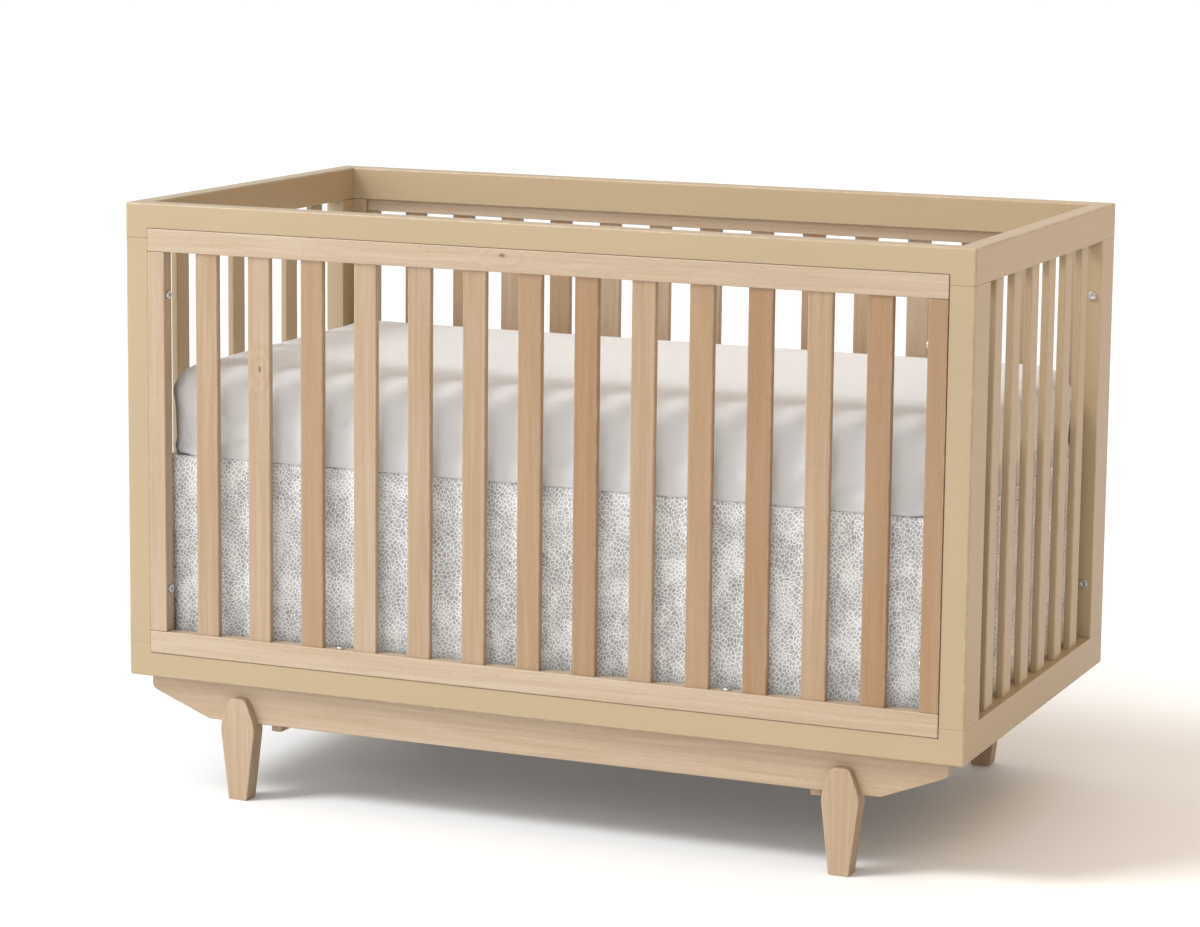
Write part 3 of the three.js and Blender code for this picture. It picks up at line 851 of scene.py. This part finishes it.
mattress_low, mattress_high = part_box("mattress")
start_x, start_y = mattress_high.x - mattress_start_inset, mattress_high.y - mattress_start_inset
start_top = mattress_high.z - mattress_start_drop
start_points, faces, _, _ = cushion_grid(start_x, start_y, mattress_low.z + 0.001, start_top,
                                         mattress_corner, (mattress_low_edge, mattress_edge),
                                         mattress_cell)
start_points = crowned(start_points, start_x, start_y, start_top, mattress_low.z,
                       mattress_start_crown)
mattress = place("foam_mattress", mesh_of("foam_mattress", start_points, faces))
found = start_points
found = settled(mattress, 16, quality=4, mass=0.4, use_pressure=True,
                uniform_pressure_force=4.0, tension_stiffness=12, bending_stiffness=1.5)
found = held_within(found, start_points, mattress_swell)
found[:, 2] = np.clip(found[:, 2], mattress_low.z + 0.0006, mattress_high.z - 0.0012)
for axis in (0, 1):
    found[:, axis] = np.clip(found[:, axis], mattress_low[axis] + mattress_stand_in,
                             mattress_high[axis] - mattress_stand_in)
mattress.data.vertices.foreach_set("co", found.astype(np.float32).ravel())
rounded_finely(mattress)


def plain_weave():
    tree, given, result = effect("plain_weave", [
        ("Place", "Vector", (0, 0, 0)), ("Threads", "Float", 1500.0),
    ], [("Height", "Float"), ("Shade", "Float"), ("Slub", "Float")])
    parts = wire(tree, "SeparateXYZ", {0: given["Place"]}).outputs
    wander = times(tree, noise(tree, given["Place"], (60, 60, 60), 2), 0.004)
    across = plus(tree, plus(tree, parts[0], parts[1]), wander)
    along = plus(tree, plus(tree, parts[2], parts[1]), wander)
    turn = times(tree, given["Threads"], 2 * pi)
    weft = reckon(tree, "SINE", times(tree, across, turn))
    warp = reckon(tree, "SINE", times(tree, along, turn))
    crossing = times(tree, times(tree, weft, warp), 0.5)
    slub_across = ramped(tree, noise(tree, given["Place"], (9, 9, 300), 3, 0.65), 0.42, 0.72)
    slub_along = ramped(tree, noise(tree, given["Place"], (300, 300, 9), 3, 0.65), 0.42, 0.72)
    slub = plus(tree, slub_across, slub_along, True)
    tree.links.new(plus(tree, crossing, slub), result["Height"])
    tree.links.new(plus(tree, times(tree, crossing, 0.5), 0.5, True), result["Shade"])
    tree.links.new(slub, result["Slub"])
    return tree


plain_weave_effect = plain_weave()


def cotton(name, colour, shadow, threads, sheen, creasing):
    material, tree, shader, here = finish(name, Roughness=0.9, Sheen_Weight=sheen,
                                          Sheen_Roughness=0.5, Specular_IOR_Level=0.25)
    weave = applied(tree, plain_weave_effect, {"Place": here, "Threads": threads})
    slow = noise(tree, here, (7, 7, 7), 3)
    shade = plus(tree, times(tree, weave["Shade"], 0.16), times(tree, weave["Slub"], 0.30))
    amount = plus(tree, shade, times(tree, slow, 0.25), True)
    tree.links.new(mixed(tree, amount, colour, shadow), shader["Base Color"])
    creases = noise(tree, here, (46, 46, 24), 4, 0.6, 1.2)
    height = plus(tree, weave["Height"], times(tree, creases, creasing))
    raised(tree, shader, height, 0.0007, 0.8)
    return material


ticking_white, ticking_shadow = (0.80, 0.79, 0.76, 1), (0.66, 0.65, 0.62, 1)
mattress.data.materials.append(cotton("mattress_ticking", ticking_white, ticking_shadow,
                                      threads=1300, sheen=0.2, creasing=1.0))
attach(mattress, "bedding")
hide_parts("mattress")


# ---- The fitted sheet ------------------------------------------------------------------------
# White cotton percale with a pocket sewn in each corner and elastic in its hem, which is pulled
# under the mattress. It lies close over the top and gathers a little at the lower corners.

sheet_cell = 0.0105
sheet_stand_off = 0.0019
sheet_gauge = 0.0008
hem_reach = 0.070
sheet_pull_in = 0.0022
sheet_low_edge = 0.003
lip_drop = 0.0012
lip_out = 0.0012
bag_height = 0.020
pleat_depth = 0.0022
pleat_reach = 0.13
sheet_give = 0.0075
sheet_limit = (0.6662, 0.3490)
sheet_low, sheet_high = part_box("fitted_sheet")
sheet_half_x, sheet_half_y = sheet_high.x - 0.0012, sheet_high.y - 0.0012
sheet_top = sheet_high.z - 0.0045
points, faces, toward, rim = cushion_grid(sheet_half_x, sheet_half_y, sheet_low.z + 0.001,
                                          sheet_top, mattress_corner + 0.002,
                                          (sheet_low_edge, mattress_edge), sheet_cell)
points = crowned(points, sheet_half_x, sheet_half_y, sheet_top, sheet_low.z, 0.0022)
depth_in = np.minimum(sheet_half_x - np.abs(points[:, 0]), sheet_half_y - np.abs(points[:, 1]))
below = points[:, 2] < sheet_low.z + 0.003
open_under = below & (depth_in > hem_reach)
kept = [face for face in faces if not any(open_under[i] for i in face)]
used = sorted({i for face in kept for i in face})
renumbered = {old: new for new, old in enumerate(used)}
kept = [tuple(renumbered[i] for i in face) for face in kept]
points, toward, depth_in, rim = points[used], toward[used], depth_in[used], rim[used]

# The elastic draws the lower corners into small pleats.
near_corner = np.exp(-(np.hypot(np.abs(points[:, 0]) - sheet_half_x,
                                np.abs(points[:, 1]) - sheet_half_y) / pleat_reach) ** 2)
lower = np.clip((sheet_low.z + 0.075 - points[:, 2]) / 0.07, 0, 1) ** 1.3
round_corner = np.arctan2(points[:, 1] / sheet_half_y, points[:, 0] / sheet_half_x)
pleats = np.sin(round_corner * 95) + 0.5 * np.sin(round_corner * 171 + 1.7)
pull_in = pleat_depth * near_corner * lower * (pleats - 0.9)
points[:, :2] += toward * pull_in[:, None]
start_points = points.copy()
sheet = place("cotton_fitted_sheet", mesh_of("cotton_fitted_sheet", points, kept))
hem = sheet.vertex_groups.new(name="hem")
for i in np.nonzero(start_points[:, 2] < sheet_low.z + 0.006)[0]:
    hem.add([int(i)], 1.0, "REPLACE")
mattress_stop = mattress.modifiers.new("stop", "COLLISION")
mattress.collision.thickness_outer = 0.0008
mattress.collision.cloth_friction = 12
found = settled(sheet, 18, gravity=1.0, collisions=True, quality=5, mass=0.25,
                vertex_group_mass="hem", shrink_min=-0.022, tension_stiffness=18,
                compression_stiffness=18, shear_stiffness=5, bending_stiffness=0.12,
                use_pressure=True, uniform_pressure_force=0.25)
mattress.modifiers.remove(mattress_stop)
points = held_within(found, start_points, sheet_give)
drawn_in = ((start_points[:, :2] - points[:, :2]) * toward).sum(1)
points[:, :2] += toward * np.maximum(drawn_in - sheet_pull_in, 0)[:, None]
for axis, limit in enumerate(sheet_limit):
    points[:, axis] = np.clip(points[:, axis], -limit, limit)
points[:, 2] = np.maximum(points[:, 2], sheet_low.z + 0.0004)
# The lower edge bags a little over the rim of the support.
out_now = (points[:, :2] * toward).sum(1)
out_limit = (np.array(sheet_limit) * np.abs(toward)).sum(1)
straight = (np.abs(toward) > 0.999).any(1)
bag = np.clip(1 - (points[:, 2] - sheet_low.z) / bag_height, 0, 1)
bag *= depth_in < sheet_cell * 0.5
points[:, :2] += toward * (bag * straight * np.maximum(out_limit - out_now, 0))[:, None]
points[rim, :2] += toward[rim] * lip_out
points[rim, 2] = sheet_low.z - lip_drop + 0.0007 * np.sin(round_corner[rim] * 57)
# The sheet rests on the ticking and never sinks into it.
under = BVHTree.FromPolygons([v.co for v in mattress.data.vertices],
                             [tuple(face.vertices) for face in mattress.data.polygons])
for i in np.nonzero(points[:, 2] > sheet_low.z + 0.012)[0]:
    spot, normal, _, _ = under.find_nearest(Vector(points[i]))
    gap = (Vector(points[i]) - spot).dot(normal)
    if gap < sheet_stand_off:
        points[i] += np.array(normal) * (sheet_stand_off - gap)
sheet.data.vertices.foreach_set("co", points.astype(np.float32).ravel())
sheet.data.update()
thick = sheet.modifiers.new("thick", "SOLIDIFY")
thick.thickness, thick.offset = sheet_gauge, -1
rounded_finely(sheet)

percale_white, percale_shadow = (0.96, 0.955, 0.955, 1), (0.90, 0.89, 0.885, 1)
sheet.data.materials.append(cotton("white_percale", percale_white, percale_shadow,
                                   threads=1700, sheen=0.25, creasing=7.0))
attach(sheet, "bedding")
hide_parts("fitted_sheet")


# ---- The skirt -------------------------------------------------------------------------------
# Four panels of printed cotton tied round the edge of the support, with a stitched hem. The print
# is small grey scales on white, which fade in and out in patches.

skirt_cell = 0.009
skirt_gauge = 0.0011
skirt_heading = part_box("fitted_sheet")[0].z - 0.0004
heading_inset = 0.0012
heading_turn_in = 0.0035
skirt_row = 0.012
fold_depth = 0.0075
ripple_depth = 0.0022
hem_droop = 0.0022
scale_grey = (0.33, 0.320, 0.322, 1)
skirt_white = (0.945, 0.96, 0.96, 1)
skirt_slub = (0.70, 0.70, 0.69, 1)
scales_per_metre = (190, 135, 1)
scale_slant = radians(38)
scale_unevenness = 0.9


def scale_print():
    material, tree, shader, here = finish("scale_print", Roughness=0.88, Sheen_Weight=0.2,
                                          Specular_IOR_Level=0.25)
    weave = applied(tree, plain_weave_effect, {"Place": here, "Threads": 1500})
    parts = wire(tree, "SeparateXYZ", {0: here}).outputs
    flat = wire(tree, "CombineXYZ", {0: plus(tree, parts[0], parts[1]), 1: parts[2]})
    bend = wire(tree, "TexNoise", {"Vector": stretched(tree, flat.outputs[0], (11, 11, 11)),
                                   "Scale": 1.0, "Detail": 2.0})
    shifted = wire(tree, "VectorMath", {0: bend.outputs["Color"], 1: (0.03, 0.03, 0)},
                   operation="MULTIPLY")
    warped = wire(tree, "VectorMath", {0: flat.outputs[0], 1: shifted.outputs[0]},
                  operation="ADD").outputs[0]
    skewed = wire(tree, "Mapping", {"Vector": warped, "Rotation": (0, 0, scale_slant)}).outputs[0]
    lattice = {"Vector": stretched(tree, skewed, scales_per_metre), "Scale": 1.0,
               "Randomness": scale_unevenness}
    cells = wire(tree, "TexVoronoi", lattice, voronoi_dimensions="2D",
                 feature="DISTANCE_TO_EDGE")
    tint = wire(tree, "TexVoronoi", lattice, voronoi_dimensions="2D")
    shade = wire(tree, "SeparateColor", {0: tint.outputs["Color"]}).outputs[0]
    patches = ramped(tree, noise(tree, warped, (24, 18, 1), 3, 0.65), 0.33, 0.60)
    edge_at = plus(tree, times(tree, patches, -0.085), 0.135)
    inside = wire(tree, "MapRange", {"Value": cells.outputs["Distance"], "From Min": edge_at,
                                     "From Max": plus(tree, edge_at, 0.05)}).outputs[0]
    depth = plus(tree, times(tree, shade, 0.25), 0.70)
    depth = times(tree, depth, plus(tree, times(tree, patches, 0.4), 0.6))
    printed = times(tree, inside, depth, True)
    ground = mixed(tree, times(tree, weave["Slub"], 0.2), skirt_white, skirt_slub)
    tree.links.new(mixed(tree, printed, ground, scale_grey), shader["Base Color"])
    raised(tree, shader, weave["Height"], 0.0003, 0.5)
    return material


skirt_print = scale_print()


def skirt_panel(name, node, facing):
    """A hanging panel in its CAD space: flat where it is tied, with folds that fall inwards."""
    low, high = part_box(node)
    across = 0 if facing[1] else 1
    length = high[across] - low[across]
    columns, rows = round(length / skirt_cell), round((high.z - low.z) / skirt_row)
    outward = facing[1] if facing[1] else facing[0]
    face = max(abs(low[1 - across]), abs(high[1 - across])) - 0.0002
    points, faces = [], []
    for k in range(-1, rows + 1):
        fall = max(0, k) / rows
        z = skirt_heading - fall * (skirt_heading - low.z)
        for i in range(columns + 1):
            s = i / columns
            u = low[across] + s * length
            wave = 0.5 + 0.5 * sin(2 * pi * (u * 7.3 + 0.35 * sin(u * 9.0 + facing[0] * 2))
                                   + 1.2 * facing[1] + 0.6 * fall)
            ripple = 0.5 + 0.5 * sin(2 * pi * (u * 17.7 + 0.2 * sin(u * 23)) + fall)
            fold = (fold_depth * wave ** 2 + ripple_depth * ripple) * min(1, fall * 1.15) ** 0.8
            tied = heading_inset * max(0, 1 - fall * 14)
            at = outward * (face - skirt_gauge - fold - tied - (heading_turn_in if k < 0 else 0))
            droop = hem_droop * (1 - wave) * fall
            point = [0, 0, z + droop]
            point[across], point[1 - across] = u, at
            points.append(point)
    for k in range(rows + 1):
        for i in range(columns):
            a = k * (columns + 1) + i
            faces.append((a, a + 1, a + columns + 2, a + columns + 1))
    piece = place(name, mesh_of(name, points, faces))
    if sum(face.normal.dot(Vector(facing)) for face in piece.data.polygons) < 0:
        piece.data.flip_normals()
    thick = piece.modifiers.new("thick", "SOLIDIFY")
    thick.thickness, thick.offset = skirt_gauge, 1
    rounded_finely(piece)
    return piece


for node, facing in (("skirt_front", (0, -1, 0)), ("skirt_rear", (0, 1, 0)),
                     ("skirt_left", (-1, 0, 0)), ("skirt_right", (1, 0, 0))):
    low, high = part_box(node)
    panel = skirt_panel(f"printed_{node}", node, facing)
    panel.data.materials.append(skirt_print)
    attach(panel, "mattress_support")
    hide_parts(node)
    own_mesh(panel)


# ---- The studio ------------------------------------------------------------------------------
# A pale floor and a white surround that turns golden low on the right. One soft lamp stands high
# on the left, one in front, one near on the left and a warm one over the right-hand end. The
# camera stands to the right in front and looks a little down.

floor_size = 160
floor_white, floor_mottle = (0.90, 0.90, 0.90, 1), (0.88, 0.88, 0.88, 1)
surround_strength = 0.80
surround_white, surround_gold = (1, 0.995, 0.985, 1), (0.36, 0.21, 0.05, 1)
camera_place = (2.1834, -5.2667, 1.5052)
camera_turn = (81.23, -0.624, 22.90)
camera_lens = 107.145
camera_shift = (-0.0063, -0.05)

bpy.ops.mesh.primitive_plane_add(size=floor_size)
floor = bpy.context.object
floor.name = "studio_floor"
floor_finish, tree, shader, here = finish("floor_paint", Roughness=0.6, Specular_IOR_Level=0.2)
mottle = noise(tree, here, (2, 2, 2), 4)
tree.links.new(mixed(tree, mottle, floor_white, floor_mottle), shader["Base Color"])
floor.data.materials.append(floor_finish)

world = bpy.data.worlds.new("studio")
bpy.context.scene.world = world
world.use_nodes = True
tree = world.node_tree
surround = tree.nodes["Background"].inputs
surround["Strength"].default_value = surround_strength
way = wire(tree, "SeparateXYZ", {0: wire(tree, "TexCoord").outputs["Generated"]}).outputs
golden = times(tree, ramped(tree, way[0], 0.1, 0.8), ramped(tree, way[2], 0.25, 0.65, 1.0, 0.0))
tree.links.new(mixed(tree, golden, surround_white, surround_gold), surround["Color"])


def lamp(name, kind, strength, spread, colour, aim, at=(0, 0, 0)):
    """A lamp at a place. It looks at aim, and spread is its angle or the size of its face."""
    lit = bpy.data.objects.new(name, bpy.data.lights.new(name, kind))
    lit.data.energy, lit.data.color = strength, colour
    setattr(lit.data, "angle" if kind == "SUN" else "size", spread)
    lit.location = at
    lit.rotation_euler = (Vector(aim) - Vector(at)).to_track_quat("-Z", "Y").to_euler()
    lit.visible_camera = False
    bpy.context.scene.collection.objects.link(lit)


lamp("soft_lamp", "SUN", 1.9, radians(19), (0.97, 0.985, 1), aim=(0.50, 0.44, -0.75))
lamp("front_lamp", "SUN", 0.76, radians(35), (0.96, 0.98, 1), aim=(-0.05, 0.95, -0.30))
lamp("side_lamp", "AREA", 27, 1.4, (1, 1, 1), aim=(-0.5, 0, 0.6), at=(-2.6, -2.0, 1.8))
lamp("warm_lamp", "AREA", 13, 1.6, (1, 0.52, 0.06), aim=(0.7, 0, 0.9), at=(2.0, 0.2, 2.1))

camera = bpy.data.objects.new("camera", bpy.data.cameras.new("camera"))
camera.location = camera_place
camera.rotation_euler = [radians(turn) for turn in camera_turn]
camera.data.lens, camera.data.sensor_width = camera_lens, 36
camera.data.shift_x, camera.data.shift_y = camera_shift
camera.data.clip_end = 300
bpy.context.scene.collection.objects.link(camera)
bpy.context.scene.camera = camera
bpy.context.scene.view_settings.view_transform = "Standard"
